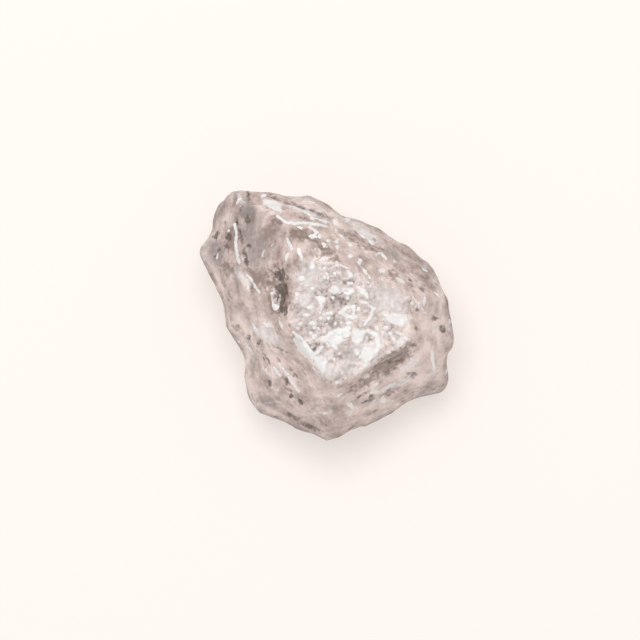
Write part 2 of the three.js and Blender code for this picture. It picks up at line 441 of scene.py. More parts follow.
def outline_at(points):
    """Distance inside the outline and height over it: each slice of the turn has its farthest point on it."""
    radius = np.hypot(points[:, 0], points[:, 1])
    turn = np.arctan2(points[:, 1], points[:, 0]) / (2 * np.pi) + 0.5
    order = np.argsort(radius)
    slice_number = (turn[order] * OUTLINE_STEPS).astype(int) % OUTLINE_STEPS
    farthest = np.zeros((OUTLINE_STEPS, 2))
    farthest[slice_number] = np.stack([radius, points[:, 2]], axis=1)[order]
    joined = np.mean([np.roll(farthest, step, axis=0) for step in (-1, 0, 1)], axis=0)
    centres = (np.arange(OUTLINE_STEPS) + 0.5) / OUTLINE_STEPS
    rim_radius, rim_height = (np.interp(turn, centres, column, period=1) for column in joined.T)
    return rim_radius - radius, points[:, 2] - rim_height


upper = smooth(outline_at(body)[1], UPPER_FROM, UPPER_TO)
dense = smooth(body[:, 2], DENSE_FROM, DENSE_TO)
face = smooth(depth_inside(bent, list(FROSTED_FACE.values())), FACE_FROM, FACE_TO) * upper
flank = 1 - face
print(f"the frosted face is {face.mean():.0%} of the points")

# %% [markdown]
# ## Flakes
# A real stone is known by its marks. They could be left to a noise texture, but then it would be some other
# stone, so each is listed, in millimetres seen from above. A flake is a small white chip: an oval with a
# place, a half length, a half width and a turn in degrees. One flake is no chip but a painted highlight.

# %% Flakes
FLAKES = [
    (2.35, -2.9, 0.25, 0.25, 0),
    (-0.29, -1.85, 0.27, 0.24, 0),
    (-1.04, -1.58, 0.2, 0.2, 0),
    (0.6, 2.06, 0.45, 0.27, -15),
    (2.8, 1.9, 0.62, 0.24, -48),
    (-0.43, 1.26, 0.3, 0.26, 30),
    (-0.2, 4.56, 0.42, 0.17, 14),
    (-1.22, 3.85, 0.18, 0.22, 0),
    (-2.07, 3.02, 0.26, 0.2, 0),
    (-2.43, 1.7, 0.15, 0.14, 0),
    (-1.29, 0.72, 0.2, 0.17, 0),
    (-1.6, 0.1, 0.28, 0.12, -10),
    (-0.43, 0.6, 0.11, 0.2, 0),
    (-2.1, -0.62, 0.15, 0.14, 0),
    (-1.1, -0.57, 0.3, 0.13, 5),
    (0.35, 0.24, 0.15, 0.13, 0),
    (2.28, -0.12, 0.2, 0.19, 0),
    (1.78, -0.62, 0.18, 0.2, 0),
    (5.3, 0.9, 0.15, 0.3, 20),
    (-0.5, 6.41, 0.18, 0.15, 0),
    (-0.3, 7.68, 0.5, 0.12, -15),
    (0.8, 7.58, 0.36, 0.13, -38),
    (0.77, 7.0, 0.22, 0.12, 40),
    (1.05, 6.42, 0.3, 0.12, -35),
    (0.23, 6.11, 0.16, 0.14, 0),
    (0.7, 6.06, 0.13, 0.13, 0),
    (0.79, 5.63, 0.18, 0.17, 0),
    (-1.54, 8.19, 0.4, 0.1, -38),
    (-0.5, 8.52, 0.26, 0.09, 0),
    (1.66, 7.82, 0.2, 0.2, 0),
    (3.64, 6.05, 0.42, 0.15, -38),
    (2.97, 6.5, 0.3, 0.14, -30),
    (1.82, 5.75, 0.27, 0.1, -35),
    (1.86, 4.78, 0.22, 0.17, 0),
    (2.68, 4.4, 0.21, 0.19, 30),
    (1.85, 3.4, 0.36, 0.15, -52),
    (3.2, 3.45, 0.45, 0.13, -50),
    (4.44, 3.7, 0.36, 0.14, 12),
    (4.47, 3.05, 0.12, 0.15, 0),
    (5.97, 2.78, 0.34, 0.15, -40),
    (5.48, 4.4, 0.15, 0.12, -40),
    (7.1, 1.43, 0.3, 0.08, -45),
    (7.6, 0.6, 0.36, 0.08, -55),
    # a painted highlight: the glint low on the right, not a chip
    (7.07, -3.51, 0.33, 0.14, -5),
    (3.2, -4.9, 0.22, 0.15, 0),
    (4.55, -6.76, 0.24, 0.3, 0),
    (1.9, -7.25, 0.4, 0.17, -35),
    (-4.7, -0.75, 0.32, 0.18, -20),
    (-5.9, -0.95, 0.4, 0.09, -60),
    (-3.65, -0.7, 0.4, 0.09, -65),
    (-6.4, -2.5, 0.6, 0.1, -63),
    (-4.9, -4.5, 0.42, 0.1, -50),
    (-0.14, -7.88, 0.27, 0.11, 0),
]
print(len(FLAKES), "flakes")

# %% [markdown]
# ## Threads, panes and veils
# A thread is a thin white seam: a half width and the points that it runs through. The left ridge thread is a
# painted highlight. A pane is a flat white facet, given by its corners, and its white is partly the facet's
# own and partly a painted highlight. A veil is a soft white cloud, an oval like a flake.

# %% Threads, panes and veils
THREADS = {
    "face_hook": (0.11, [(3.05, -0.7), (3.5, 0.02), (3.78, 0.6), (3.2, 1.02), (2.7, 1.1)]),
    "face_right": (0.15, [(3.28, -1.2), (4.0, -1.55), (4.18, -2.33), (3.93, -3.05)]),
    "triangle": (0.14, [(1.1, 0.25), (1.57, 0.74), (2.15, 0.76), (2.05, -0.15), (1.1, 0.25)]),
    "curl": (0.13, [(1.3, 2.1), (1.6, 2.22), (2.05, 1.97), (1.65, 1.75)]),
    "face_corner": (0.13, [(-2.28, 5.3), (-2.0, 4.56)]),
    "needle_low": (0.11, [(5.1, -1.41), (5.5, -2.12)]),
    "needle_high": (0.11, [(5.53, -1.26), (6.57, -1.9)]),
    "vee_line": (0.13, [(-2.72, -1.35), (-2.05, -1.85), (-1.41, -2.6), (-1.02, -3.2), (-0.4, -2.5)]),
    "ledge": (0.1, [(-3.95, 8.04), (-3.32, 7.52), (-1.32, 7.45), (-0.06, 7.22)]),
    "ledge_fork": (0.12, [(-1.39, 7.15), (-0.75, 6.71), (-1.17, 6.3)]),
    "brown_rib": (0.1, [(-3.2, 6.15), (-2.8, 5.3)]),
    "shoulder_arc": (0.09, [(4.0, 5.0), (4.38, 5.11), (4.82, 4.63)]),
    # a painted highlight along the glossy left ridge
    "left_ridge_highlight": (0.1, [(-7.5, 7.5), (-7.32, 6.76), (-7.36, 5.66), (-7.2, 4.64), (-6.98, 4.3)]),
    "left_thread": (0.09, [(-6.42, 3.31), (-5.92, 2.64), (-5.46, 1.94)]),
    "pit_sliver": (0.05, [(-4.42, 1.8), (-4.38, 1.3), (-4.3, 0.75)]),
    "lower_left_long": (0.08, [(-3.92, -3.9), (-3.32, -4.63), (-2.99, -5.16), (-2.26, -6.1)]),
    "lower_left_short": (0.08, [(-4.35, -4.15), (-3.8, -4.83)]),
    "lower_right": (0.1, [(3.6, -6.3), (4.22, -6.12), (5.41, -5.5)]),
    "right_upright": (0.13, [(8.5, -2.95), (8.68, -4.3)]),
}
PANES = {
    "vee_left": [(-2.8, -1.33), (-2.35, -2.76), (-1.08, -3.99), (-1.0, -3.29), (-1.41, -2.6)],
    "vee_tip": [(-1.0, -3.29), (-1.08, -3.99), (-0.22, -4.8), (0.02, -3.78), (-0.14, -3.21)],
    "vee_right": [(-0.31, -1.74), (0.1, -2.52), (0.63, -2.6), (1.94, -1.5), (1.61, -0.92), (0.63, -1.05)],
    "vee_end": [(2.1, -1.05), (2.02, -2.07), (2.43, -2.31), (2.75, -1.9), (3.2, -1.17)],
    "vee_fill": [(2.5, -3.3), (3.1, -3.65), (3.9, -3.2), (4.0, -2.6), (3.0, -2.45)],
    "right_flake": [(4.57, 0.14), (4.77, -0.32), (5.97, -0.92), (6.5, -0.32), (6.37, 0.08), (5.3, 0.21)],
    "peak_flake": [(-5.16, 8.95), (-4.5, 8.6), (-3.63, 8.4), (-3.56, 9.0), (-4.3, 9.35), (-5.1, 9.48)],
}
VEILS = [
    (-4.9, -1.5, 1.5, 0.7, -25),
    (-6.9, 3.2, 1.2, 0.35, -62),
    (6.55, -4.1, 1.0, 0.33, 28),
    (5.9, -5.5, 0.9, 0.35, 22),
    (0.0, -4.5, 1.0, 0.7, 20),
    (2.4, -2.6, 1.5, 0.7, 25),
    (3.6, -2.5, 1.0, 0.7, 40),
    (1.2, -4.2, 1.7, 0.8, 30),
    (3.1, -4.0, 1.6, 0.3, 33),
    (-1.8, 8.5, 1.3, 0.3, -20),
    (3.1, 6.8, 1.6, 0.45, -35),
    (4.9, 1.2, 1.9, 1.2, -20),
    (-1.6, 3.3, 1.1, 0.8, 0),
    (-1.7, 1.2, 0.8, 0.9, 0),
]
print(len(THREADS), "threads,", len(PANES), "panes and", len(VEILS), "veils")

# %% [markdown]
# ## Brown and dark marks
# Iron stains the hollows brown, smoke is a grey cloud under the skin of the left flank, and the dots and
# cracks are small pits that hold dirt. They are ovals and lines like the white marks. The largest brown
# patch, in the hollow under the frosted face's right edge, is partly stain and partly painted shade.

# %% Stains, clouds, dots and cracks
STAINS_AND_SHADE = [
    # partly an iron stain and partly painted shade of the hollow under the frosted face's right edge
    (5.2, -3.6, 1.75, 0.7, 30),
    (3.2, -5.2, 1.3, 0.4, 33),
    (-3.75, 2.0, 1.95, 0.66, -84),
    (-2.2, 6.63, 0.8, 0.55, 0),
    (-1.32, 7.76, 0.5, 0.14, -10),
    (-0.14, 5.45, 0.95, 0.34, -45),
    (0.6, 4.5, 0.4, 0.5, 20),
    (2.0, 6.32, 1.1, 0.3, -20),
    (3.4, 5.6, 0.9, 0.3, -15),
    (5.4, 3.2, 0.55, 0.32, -50),
    (1.0, 1.31, 0.8, 0.32, 0),
    (0.62, -0.33, 0.85, 0.45, 0),
    (-0.5, 2.05, 0.75, 0.28, 0),
    (1.57, 2.75, 0.5, 0.28, 0),
    (3.5, -1.8, 0.35, 0.28, 0),
    (0.86, -3.45, 0.42, 0.25, 0),
    (1.5, -4.4, 0.6, 0.16, 35),
    (-0.95, -2.3, 0.5, 0.2, 0),
    (-8.1, 3.8, 0.5, 0.7, 20),
    (-7.37, -1.11, 0.45, 0.22, -50),
    (5.0, -6.16, 0.7, 0.18, 20),
    (-4.06, 7.67, 0.35, 0.3, 0),
    (-5.0, 3.1, 0.5, 0.9, 10),
]
SMOKE = [
    (-5.9, 5.7, 2.2, 1.2, -80),
    (-6.4, 8.5, 0.9, 0.55, -80),
    (-8.97, 5.2, 1.4, 0.8, -75),
    (-4.7, -7.0, 1.0, 0.45, -25),
    (-6.0, -4.0, 1.0, 0.3, -85),
    (5.4, 5.0, 0.9, 0.4, -30),
]
DOTS = [
    (-3.8, 3.35, 0.5, 0.36, -80),
    (-3.72, 2.05, 0.6, 0.42, -80),
    (-3.75, 1.2, 0.45, 0.34, -80),
    (-3.5, 0.5, 0.42, 0.32, -75),
    (-6.42, 9.6, 0.4, 0.17, -70),
    (-6.42, 7.8, 0.3, 0.2, -80),
    (-7.26, 7.4, 0.5, 0.12, -75),
    (-7.0, 6.5, 0.5, 0.16, -80),
    (-6.42, 5.6, 0.2, 0.16, 0),
    (-6.6, 4.6, 0.7, 0.15, -78),
    (-9.08, 6.5, 0.32, 0.2, 60),
    (-8.22, 5.7, 0.32, 0.16, -70),
    (-7.94, 6.4, 0.4, 0.22, -80),
    (-9.04, 4.9, 0.2, 0.17, 0),
    (-8.74, 5.42, 0.14, 0.12, 0),
    (9.4, -1.05, 0.34, 0.26, 0),
    (8.75, -0.22, 0.24, 0.2, 0),
    (7.74, 2.2, 0.36, 0.17, -40),
    (6.83, 2.26, 0.22, 0.14, -40),
    (7.28, 0.55, 0.17, 0.12, 0),
    (7.32, -1.01, 0.2, 0.13, -40),
    (6.95, -2.36, 0.32, 0.14, 0),
    (6.7, 2.95, 0.13, 0.11, 0),
    (3.64, 5.44, 0.14, 0.12, 0),
    (2.38, 6.78, 0.26, 0.08, -40),
    (5.28, -3.64, 0.42, 0.1, 8),
    (6.81, -4.8, 0.42, 0.17, 5),
    (3.62, -6.63, 0.26, 0.18, 40),
    (3.1, -7.0, 0.36, 0.12, 10),
    (-5.51, -2.27, 0.32, 0.16, 60),
    (-6.41, -1.68, 0.2, 0.18, 0),
    (-5.05, -3.3, 0.45, 0.11, -58),
    (-4.78, -5.36, 0.3, 0.2, -60),
    (-3.32, -5.23, 0.36, 0.18, -50),
    (-2.73, -4.8, 0.2, 0.17, 0),
    (-3.8, -2.7, 0.3, 0.09, -30),
    (-2.92, -6.42, 0.18, 0.15, 0),
    (-2.19, -6.88, 0.32, 0.16, -60),
]
CRACKS = {
    "top_ledge": (0.1, [(-4.8, 9.8), (-3.98, 9.44), (-2.8, 9.07), (-1.02, 8.48), (0.38, 7.9)]),
    "bottom_band": (0.15, [(-3.15, -8.0), (-1.66, -8.9), (-0.4, -9.4)]),
    "lower_crack": (0.08, [(2.4, -6.75), (3.3, -6.15)]),
    "vee_notch": (0.09, [(-1.9, -2.0), (-1.07, -2.88), (-0.95, -2.7)]),
}
print(len(STAINS_AND_SHADE), "stains,", len(SMOKE), "clouds,", len(DOTS), "dots and", len(CRACKS), "cracks")

# %% [markdown]
# ## Gaps instead of masks
# A mask that is already cut to black and white gets blurred between the mesh's points. A gap doesn't: it is
# how far outside the nearest mark a point is, in millimetres, and less than nothing inside. Gaps blend well
# between points, and the shader can cut them to an edge that is much finer than the mesh.

# %% Gaps of ovals, lines and panes
def oval_reach(points, ovals):
    """Distance from the middle of each oval, in units of the oval: 1 is on its edge. One column for each."""
    x, y, length, width, turn = np.array(ovals).T
    cosine, sine = np.cos(np.radians(turn)), np.sin(np.radians(turn))
    away_x, away_y = points[:, :1] - x, points[:, 1:2] - y
    along = (away_x * cosine + away_y * sine) / length
    across = (away_y * cosine - away_x * sine) / width
    return np.hypot(along, across)


def oval_gap(points, ovals):
    """Gap to the nearest oval: its reach less one, times its smaller half width."""
    return ((oval_reach(points, ovals) - 1) * np.array(ovals)[:, 2:4].min(1)).min(1)


def line_gap(points, lines):
    """Gap to the nearest line: the distance to its nearest stretch, less its half width."""
    gap = np.full(len(points), np.inf)
    for width, route in lines.values():
        for start, end in itertools.pairwise(np.array(route)):
            side = end - start
            share = np.clip((points[:, :2] - start) @ side / (side @ side), 0, 1)
            far = np.linalg.norm(points[:, :2] - start - share[:, None] * side, axis=1)
            gap = np.minimum(gap, far - width)
    return gap


def pane_gap(points, panes):
    """Gap to the nearest pane: the distance outside its nearest side."""
    return np.min([-depth_inside(points, pane) for pane in panes.values()], axis=0)


trial_point, trial_mark = np.array([[1.0, 0.0, 0.0]]), (0, 0, 0.4, 0.4, 0)
print("1 mm from the middle of a round mark of 0.4 mm the gap is", oval_gap(trial_point, [trial_mark]), "mm")

# %% [markdown]
# ## Marks on the mesh
# The marks are laid on bent points, so that no oval is a perfect one, and threads on points that are bent
# less. They end below the outline. The lower side has no marks placed by hand: its chips and pits are
# scattered by seeded chance, and lie flat along the contours.

# %% Gaps of every mark
UNDER_GAP = 2.0
MARK_BEND, THREAD_BEND = 0.5, 0.25
LOWER_SQUEEZE = np.array([0.75, 0.75, 1.7])
LOWER_LEAST, LOWER_SHARE = 0.5, 0.1
LOWER_CHIPS, CHIP_SIZES, CHIP_SEED = 70, (0.08, 0.34), 5
LOWER_PITS, PIT_SIZES, PIT_SEED = 60, (0.08, 0.3), 6


def scattered_gap(points, count, sizes, seed):
    """Gap to the nearest of some chance points of the lower side: the squeezed distance, less its size."""
    chances = np.random.default_rng(seed)
    lower_points = points[(upper < LOWER_SHARE) & (points[:, 2] > LOWER_LEAST)] * LOWER_SQUEEZE
    middles = chances.choice(lower_points, count, replace=False)
    size = chances.uniform(*sizes, count)
    squeezed = points * LOWER_SQUEEZE
    gap = np.full(len(points), np.inf)
    for middle, reach in zip(middles, size):
        gap = np.minimum(gap, np.linalg.norm(squeezed - middle, axis=1) - reach)
    return gap


on_marks = body + MARK_BEND * (bent - body)
on_threads = body + THREAD_BEND * (bent - body)
under = UNDER_GAP * (1 - upper)
chip_gap = scattered_gap(bent, LOWER_CHIPS, CHIP_SIZES, CHIP_SEED)
pit_gap = scattered_gap(bent, LOWER_PITS, PIT_SIZES, PIT_SEED)
dot_gap = np.minimum(oval_gap(on_marks, DOTS), line_gap(on_threads, CRACKS))
gaps = {
    "flake_gap": np.minimum(oval_gap(on_marks, FLAKES) + under, chip_gap),
    "thread_gap": line_gap(on_threads, THREADS) + under,
    "pane_gap": pane_gap(on_marks, PANES) + under,
    "stain_and_shade_gap": oval_gap(on_marks, STAINS_AND_SHADE) + under,
    "dark_gap": np.minimum(dot_gap + under, pit_gap),
}
for name, gap in gaps.items():
    print(f"{name}: {(gap < 0).mean():.1%} of the points are inside")

# %% [markdown]
# ## Grains
# Crushed crystals are angular patches with nothing between them. One seed is scattered in every cell of
# space, and a point belongs to the seed that is nearest, as in a Voronoi texture. Working it out here and not
# in the shader gives real relief that the mesh keeps.

# %% Grains of any size
def grains(points, size, seed):
    """The way from the nearest scattered seed, in cells, and the whole-number cell that owns that seed."""
    scaled = points / np.array(size)
    low = np.floor(scaled).astype(np.int64)
    nearest = np.full(len(points), np.inf)
    away = np.zeros_like(points)
    owner = np.zeros_like(low)
    for step in itertools.product((-1, 0, 1), repeat=3):
        cell = low + np.array(step)
        jitter = np.stack([cell_chance(cell, seed + k) for k in range(3)], axis=1)
        offset = scaled - (cell + jitter)
        far = (offset**2).sum(1)
        closer = far < nearest
        nearest[closer] = far[closer]
        away[closer] = offset[closer]
        owner[closer] = cell[closer]
    return away, owner


trial_owners = grains(body, (1, 1, 1), 0)[1]
print("the stone shows", len(np.unique(trial_owners, axis=0)), "grains of one millimetre")

# %% [markdown]
# ## Sugar and flutes
# Up close the frosted face is a crust of tiny tilted crystals, as coarse sugar is. Each grain gets a height
# and a tilt of its own. The flanks are fluted along the contours: the same grains, long and squeezed in
# height, each scooped out as a shallow bowl, finer above the waist and coarser below it. Flakes and threads
# stand proud, and dots are sunk. A layer is given by the size of its grains, its rise and its seed.

# %% Fine relief
SUGAR = [((0.9, 0.9, 0.9), 0.055, 11), ((0.45, 0.45, 0.45), 0.03, 23)]
SUGAR_TILT = 3
HEIGHT_SEED, TILT_SEED = 3, 5
UPPER_FLUTES = ((2.2, 2.2, 0.5), 0.06, 31)
LOWER_FLUTES = ((3.0, 3.0, 1.3), 0.16, 37)
FLUTE_LEVEL = 0.35
FOOT_FROM, FOOT_TO = 0.3, 1.5
FLAKE_RISE, DOT_SINK, MARK_EDGE = 0.05, 0.06, 0.08
GRIT_SIZE, GRIT_RISE, GRIT_SEED = 0.35, 0.012, 71


def sugar(points, size, rise, seed):
    """Height of tilted grains: each grain's own height, plus its own slope across it."""
    away, owner = grains(points, size, seed)
    tilt = np.stack([cell_chance(owner, seed + TILT_SEED + k) for k in range(3)], axis=1) - 0.5
    height = 2 * cell_chance(owner, seed + HEIGHT_SEED) - 1
    return rise * (height + SUGAR_TILT * (away * tilt).sum(1))


def flutes(points, size, rise, seed):
    """Height of scooped grains: the squared distance from each grain's seed."""
    return rise * ((grains(points, size, seed)[0] ** 2).sum(1) - FLUTE_LEVEL)


def inside(gap):
    """1 inside a mark and 0 outside it, with an edge that the mesh can show."""
    return 1 - smooth(gap, -MARK_EDGE, MARK_EDGE)


white_marks = inside(np.minimum(np.minimum(gaps["flake_gap"], gaps["thread_gap"]), gaps["pane_gap"]))
fine = face * sum(sugar(bent, *layer) for layer in SUGAR)
fine += flank * dense * flutes(bent, *UPPER_FLUTES)
fine += (1 - dense) * smooth(body[:, 2], FOOT_FROM, FOOT_TO) * flutes(bent, *LOWER_FLUTES)
fine += FLAKE_RISE * white_marks - DOT_SINK * inside(gaps["dark_gap"])
fine += GRIT_RISE * dense * rough_cloud(body, GRIT_SIZE, GRIT_SEED, layers=2)
stone_points = body + direction * fine[:, None]
stone_points[:, 2] = np.maximum(stone_points[:, 2], 0)
print("stone from", np.round(stone_points.min(0), 2), "to", np.round(stone_points.max(0), 2), "mm")

# %% [markdown]
# ## The mesh
# foreach_set hands whole arrays to Blender at once. The object stays at the origin, and its place is in its
# mesh. It stands for the solid of the same name, and rides on the only body that there is.

# %% Mesh and object
def mesh_object(name, points, polygons):
    """A mesh object from an array of points and an array of polygons with equal numbers of corners."""
    mesh = bpy.data.meshes.new(name)
    mesh.vertices.add(len(points))
    mesh.vertices.foreach_set("co", points.astype(np.float32).ravel())
    mesh.loops.add(polygons.size)
    mesh.loops.foreach_set("vertex_index", polygons.astype(np.int32).ravel())
    starts = np.arange(0, polygons.size, polygons.shape[1], dtype=np.int32)
    mesh.polygons.add(len(polygons))
    mesh.polygons.foreach_set("loop_start", starts)
    mesh.update(calc_edges=True)
    mesh.validate()
    made = bpy.data.objects.new(name, mesh)
    bpy.context.scene.collection.objects.link(made)
    return made


stone = mesh_object("morganite_stone", stone_points * MM, quads)
stone.data.polygons.foreach_set("use_smooth", np.ones(len(quads), dtype=bool))
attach(stone, "root")
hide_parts("morganite")
print(stone.name, len(stone.data.vertices), "points")

# %% [markdown]
# ## Paler and deeper parts
# Some parts are made paler or deeper pink. Each is a wide oval, listed with the tone that it adds at its
# middle.
# The whole lower side is painted paler too: a painted glow that lightens its shade.

# %% Tones of the parts
# the whole lower side is painted paler: a painted glow that lightens its shade
LOWER_PAINTED_GLOW = 0.14
PARTS = {
    "peak": ((-6.2, 9.0, 2.0, 1.2, 0), -0.36),
    "temple": ((-7.4, 6.3, 1.2, 2.6, 0), -0.46),
    "pit_left": ((-4.1, 4.6, 0.9, 1.3, 0), -0.2),
    "left_upper": ((-6.4, 3.5, 1.4, 1.6, 0), -0.22),
    "left": ((-6.1, -0.2, 1.5, 1.3, 0), 0.22),
    "left_edge": ((-7.3, 0.6, 0.7, 1.0, 0), 0.32),
    "left_low": ((-5.2, -3.4, 1.5, 1.4, 0), 0.22),
    "under_face": ((-3.5, -2.2, 0.9, 1.4, 0), 0.16),
    "foot": ((-4.9, -6.3, 1.0, 0.9, 0), 0.24),
    "toe_left": ((-2.3, -8.4, 2.2, 0.8, -28), -0.3),
    "lower_right": ((4.8, -5.7, 3.0, 1.2, 28), 0.32),
    "right_low": ((8.0, -4.4, 1.2, 0.9, 0), 0.18),
    "right": ((8.7, -0.6, 0.9, 2.2, 0), 0.28),
    "right_inner": ((6.9, -0.6, 0.9, 2.8, 0), 0.16),
    "upper_right": ((6.0, 2.2, 1.2, 1.0, 0), 0.14),
    "shoulder": ((5.4, 4.9, 2.2, 1.0, -40), -0.16),
    "shoulder_edge": ((7.4, 4.6, 2.1, 0.8, -47), -0.5),
    "crown": ((0.4, 7.8, 1.0, 0.8, -20), -0.28),
    "brown": ((-1.2, 6.2, 1.8, 0.9, -30), -0.2),
    "face": ((0.4, 0.8, 2.2, 2.6, 0), -0.12),
}


def part_tones(points, parts):
    """A sum of bell curves of the reach, each as high as its part is paler or deeper."""
    ovals, tones = zip(*parts.values())
    return np.exp(-(oval_reach(points, ovals) ** 2)) @ np.array(tones) * upper


# the last term is the painted glow of the lower side
parts = part_tones(on_marks, PARTS) + LOWER_PAINTED_GLOW * (1 - upper)
print(len(PARTS), "parts with tones from", np.round(parts.min(), 2), "to", np.round(parts.max(), 2))

# %% [markdown]
# ## Bruises, streaks and painted rim shade
# Some things have no edge, so they are masks from 0 to 1 and not gaps. Edges and ridges are bruised white in
# patches, most of all below the face. The left flank has streaks. The outermost rim is darker: that is
# painted shade along the outline, broken into patches.

# %% Soft masks
# the RIM values shape the painted shade along the outline
RIM_WIDTH, RIM_ABOVE, RIM_BELOW = 0.28, 0.5, 0.2
RIM_PATCH, RIM_SEED, RIM_FROM, RIM_TO = 1.3, 121, -0.6, 0.3
RIDGE_WIDTH = 0.4
PATCH_SIZE, PATCH_SEED, PATCH_FROM, PATCH_TO = 1.6, 101, -0.2, 0.7
SOFT_FROM, SOFT_TO = 0.05, 0.9
STREAK_SIZE, STREAK_SEED = (1.1, 2.6, 0.7), 61
STREAK_FROM, STREAK_TO = 1.5, 4.5
WEAR_FADE_FROM, WEAR_FADE_TO, WEAR_LEFT = 8.5, 10.5, 0.3
UNWORN = [(0.2, -8.9, 1.8, 1.5, 0)]


def soft_ovals(points, ovals):
    """1 well inside an oval and 0 beyond 1.7 times its size: a bell curve of the reach, cut at its foot."""
    return smooth(np.exp(-(oval_reach(points, ovals) ** 2)).max(1), SOFT_FROM, SOFT_TO) * upper


# this bell curve is where painted shade darkens the outline
def rim(points):
    """A bell curve of the distance from the outline, inwards and in height."""
    inward, upward = outline_at(points)
    tall = np.where(upward > 0, RIM_ABOVE, RIM_BELOW)
    return np.exp(-((inward / RIM_WIDTH) ** 2) - (upward / tall) ** 2)


streaks = rough_cloud(bent, STREAK_SIZE, STREAK_SEED, layers=2) * flank
streaks *= smooth(-hull[:, 0], STREAK_FROM, STREAK_TO)
ridge = (1 - smooth(ridge_gap, 0, RIDGE_WIDTH)) * below_face
patchy = smooth(rough_cloud(bent, PATCH_SIZE, PATCH_SEED), PATCH_FROM, PATCH_TO)
worn_away = 1 - (1 - WEAR_LEFT) * smooth(body[:, 2], WEAR_FADE_FROM, WEAR_FADE_TO)
# breaks the painted rim shade into patches
patchy_rim_shade = smooth(rough_cloud(bent, RIM_PATCH, RIM_SEED), RIM_FROM, RIM_TO)
unworn = soft_ovals(on_marks, UNWORN)
print(f"edges are bruised in {patchy.mean():.0%} of places, and the rim is dark in {patchy_rim_shade.mean():.0%}")

# %% [markdown]
# ## Masks and gaps on the mesh
# The shader reads these numbers as attributes, one value at every point, so they follow the surface wherever
# the stone goes. Face is where the white crust grows, and dense keeps the fine chips off the foot. Wear, veil
# and smoke are the bruises, white clouds and grey clouds, and the rim mask is painted shade along the
# outline.
# Tone runs from deep to pale pink, and on the lower side it also carries a painted glow.

# %% Attributes
RIDGE_LOSS = 0.4
TONE_MIDDLE, SHELL_TONE, STREAK_TONE = 0.5, 0.3, 0.4
RIM_STRENGTH, RIM_LEAN = 0.85, 0.025
bruised = np.maximum(hull_edge, (1 - RIDGE_LOSS * dense) * ridge)
shell_tones = SHELL_TONE * (shell_chance - 0.5) * below_face
masks = {
    "face": face,
    "dense": dense,
    "veil": soft_ovals(on_marks, VEILS),
    "wear": bruised * patchy * worn_away * (1 - unworn),
    "smoke": soft_ovals(on_marks, SMOKE),
    "tone": TONE_MIDDLE + shell_tones + STREAK_TONE * streaks + parts,
    # painted shade along the outline, a little darker towards the right
    "rim_shade": rim(stone_points) * (RIM_STRENGTH + RIM_LEAN * body[:, 0]) * patchy_rim_shade,
}
for name, values in (masks | gaps).items():
    attribute = stone.data.attributes.new(name, "FLOAT", "POINT")
    attribute.data.foreach_set("value", values.astype(np.float32))
print("masks:", ", ".join(f"{name} {values.mean():.2f}" for name, values in masks.items()))

# %% [markdown]
# ## Node helpers
# A material is a small program drawn as nodes. These helpers add one node each and hand back its output, so
# that the mixing below reads like arithmetic.

# %% A blank material and its helpers
material = bpy.data.materials.new("morganite")
material.use_nodes = True
tree = material.node_tree
tree.nodes.clear()


def node(kind, values=None, **settings):
    """A node with its settings and its socket values. A value that is another node's socket is linked."""
    made = tree.nodes.new(kind)
    for name, setting in settings.items():
        setattr(made, name, setting)
    for name, value in (values or {}).items():
        if isinstance(value, bpy.types.NodeSocket):
            tree.links.new(value, made.inputs[name])
        else:
            made.inputs[name].default_value = value
    return made


def calc(operation, first, *others):
    """Values put through one operation, one after the other."""
    for other in others:
        first = node("ShaderNodeMath", {0: first, 1: other}, operation=operation).outputs[0]
    return first


def ramp(value, low, high, to_low=0.0, to_high=1.0):
    """A value between low and high, spread from to_low to to_high and held there."""
    spans = {"Value": value, "From Min": low, "From Max": high, "To Min": to_low, "To Max": to_high}
    return node("ShaderNodeMapRange", spans).outputs[0]


def cover(under, over, amount):
    """The colour under, covered by the colour over as far as amount says."""
    return node("ShaderNodeMix", {0: amount, 6: under, 7: over}, data_type="RGBA").outputs[2]


def mask(name):
    """One of the numbers that are kept at every point of the mesh."""
    return node("ShaderNodeAttribute", attribute_name=name).outputs["Fac"]


print("a blank material:", material.name)

# %% [markdown]
# ## Textures
# Textures on Object coordinates carry what is too fine for the mesh. Noise gives soft mottling. Voronoi cells
# are the shader's own grains: round ones for the crushed crystals of the face, and flat ones, squeezed in
# height, for the chips on the flanks. Growth bands are noise that is squeezed in the same way.

# %% Noise, grains and growth bands
TONE_SIZE, MOTTLE_SIZE, SPECKLE_SIZE, GRIT_TEXTURE = 1.2 * MM, 0.35 * MM, 0.17 * MM, 0.1 * MM
GRAIN_SIZE = np.array([0.4, 0.4, 0.4]) * MM
CHIP_SIZE = np.array([1.0, 1.0, 0.4]) * MM
GROWTH_SIZE = np.array([2.6, 2.6, 0.5]) * MM
TORN = 0.2 * MM
NOISE_SPAN, NARROW_SPAN = (0.3, 0.7), (0.35, 0.65)
place = node("ShaderNodeTexCoord").outputs["Object"]


def scaled(vector, size):
    """A place in units of a size that may differ along x, y and z."""
    return node("ShaderNodeVectorMath", {0: vector, 1: 1 / size}, operation="MULTIPLY").outputs[0]


def noise(size, detail, output="Fac"):
    """Soft noise with lumps of this size."""
    return node("ShaderNodeTexNoise", {"Vector": place, "Scale": 1 / size, "Detail": detail}).outputs[output]


def cells(size):
    """Voronoi cells on torn coordinates: three chances of each cell, and the distance from its seed."""
    made = node("ShaderNodeTexVoronoi", {"Vector": scaled(torn, size), "Scale": 1.0}).outputs
    return node("ShaderNodeSeparateColor", {"Color": made["Color"]}).outputs, made["Distance"]


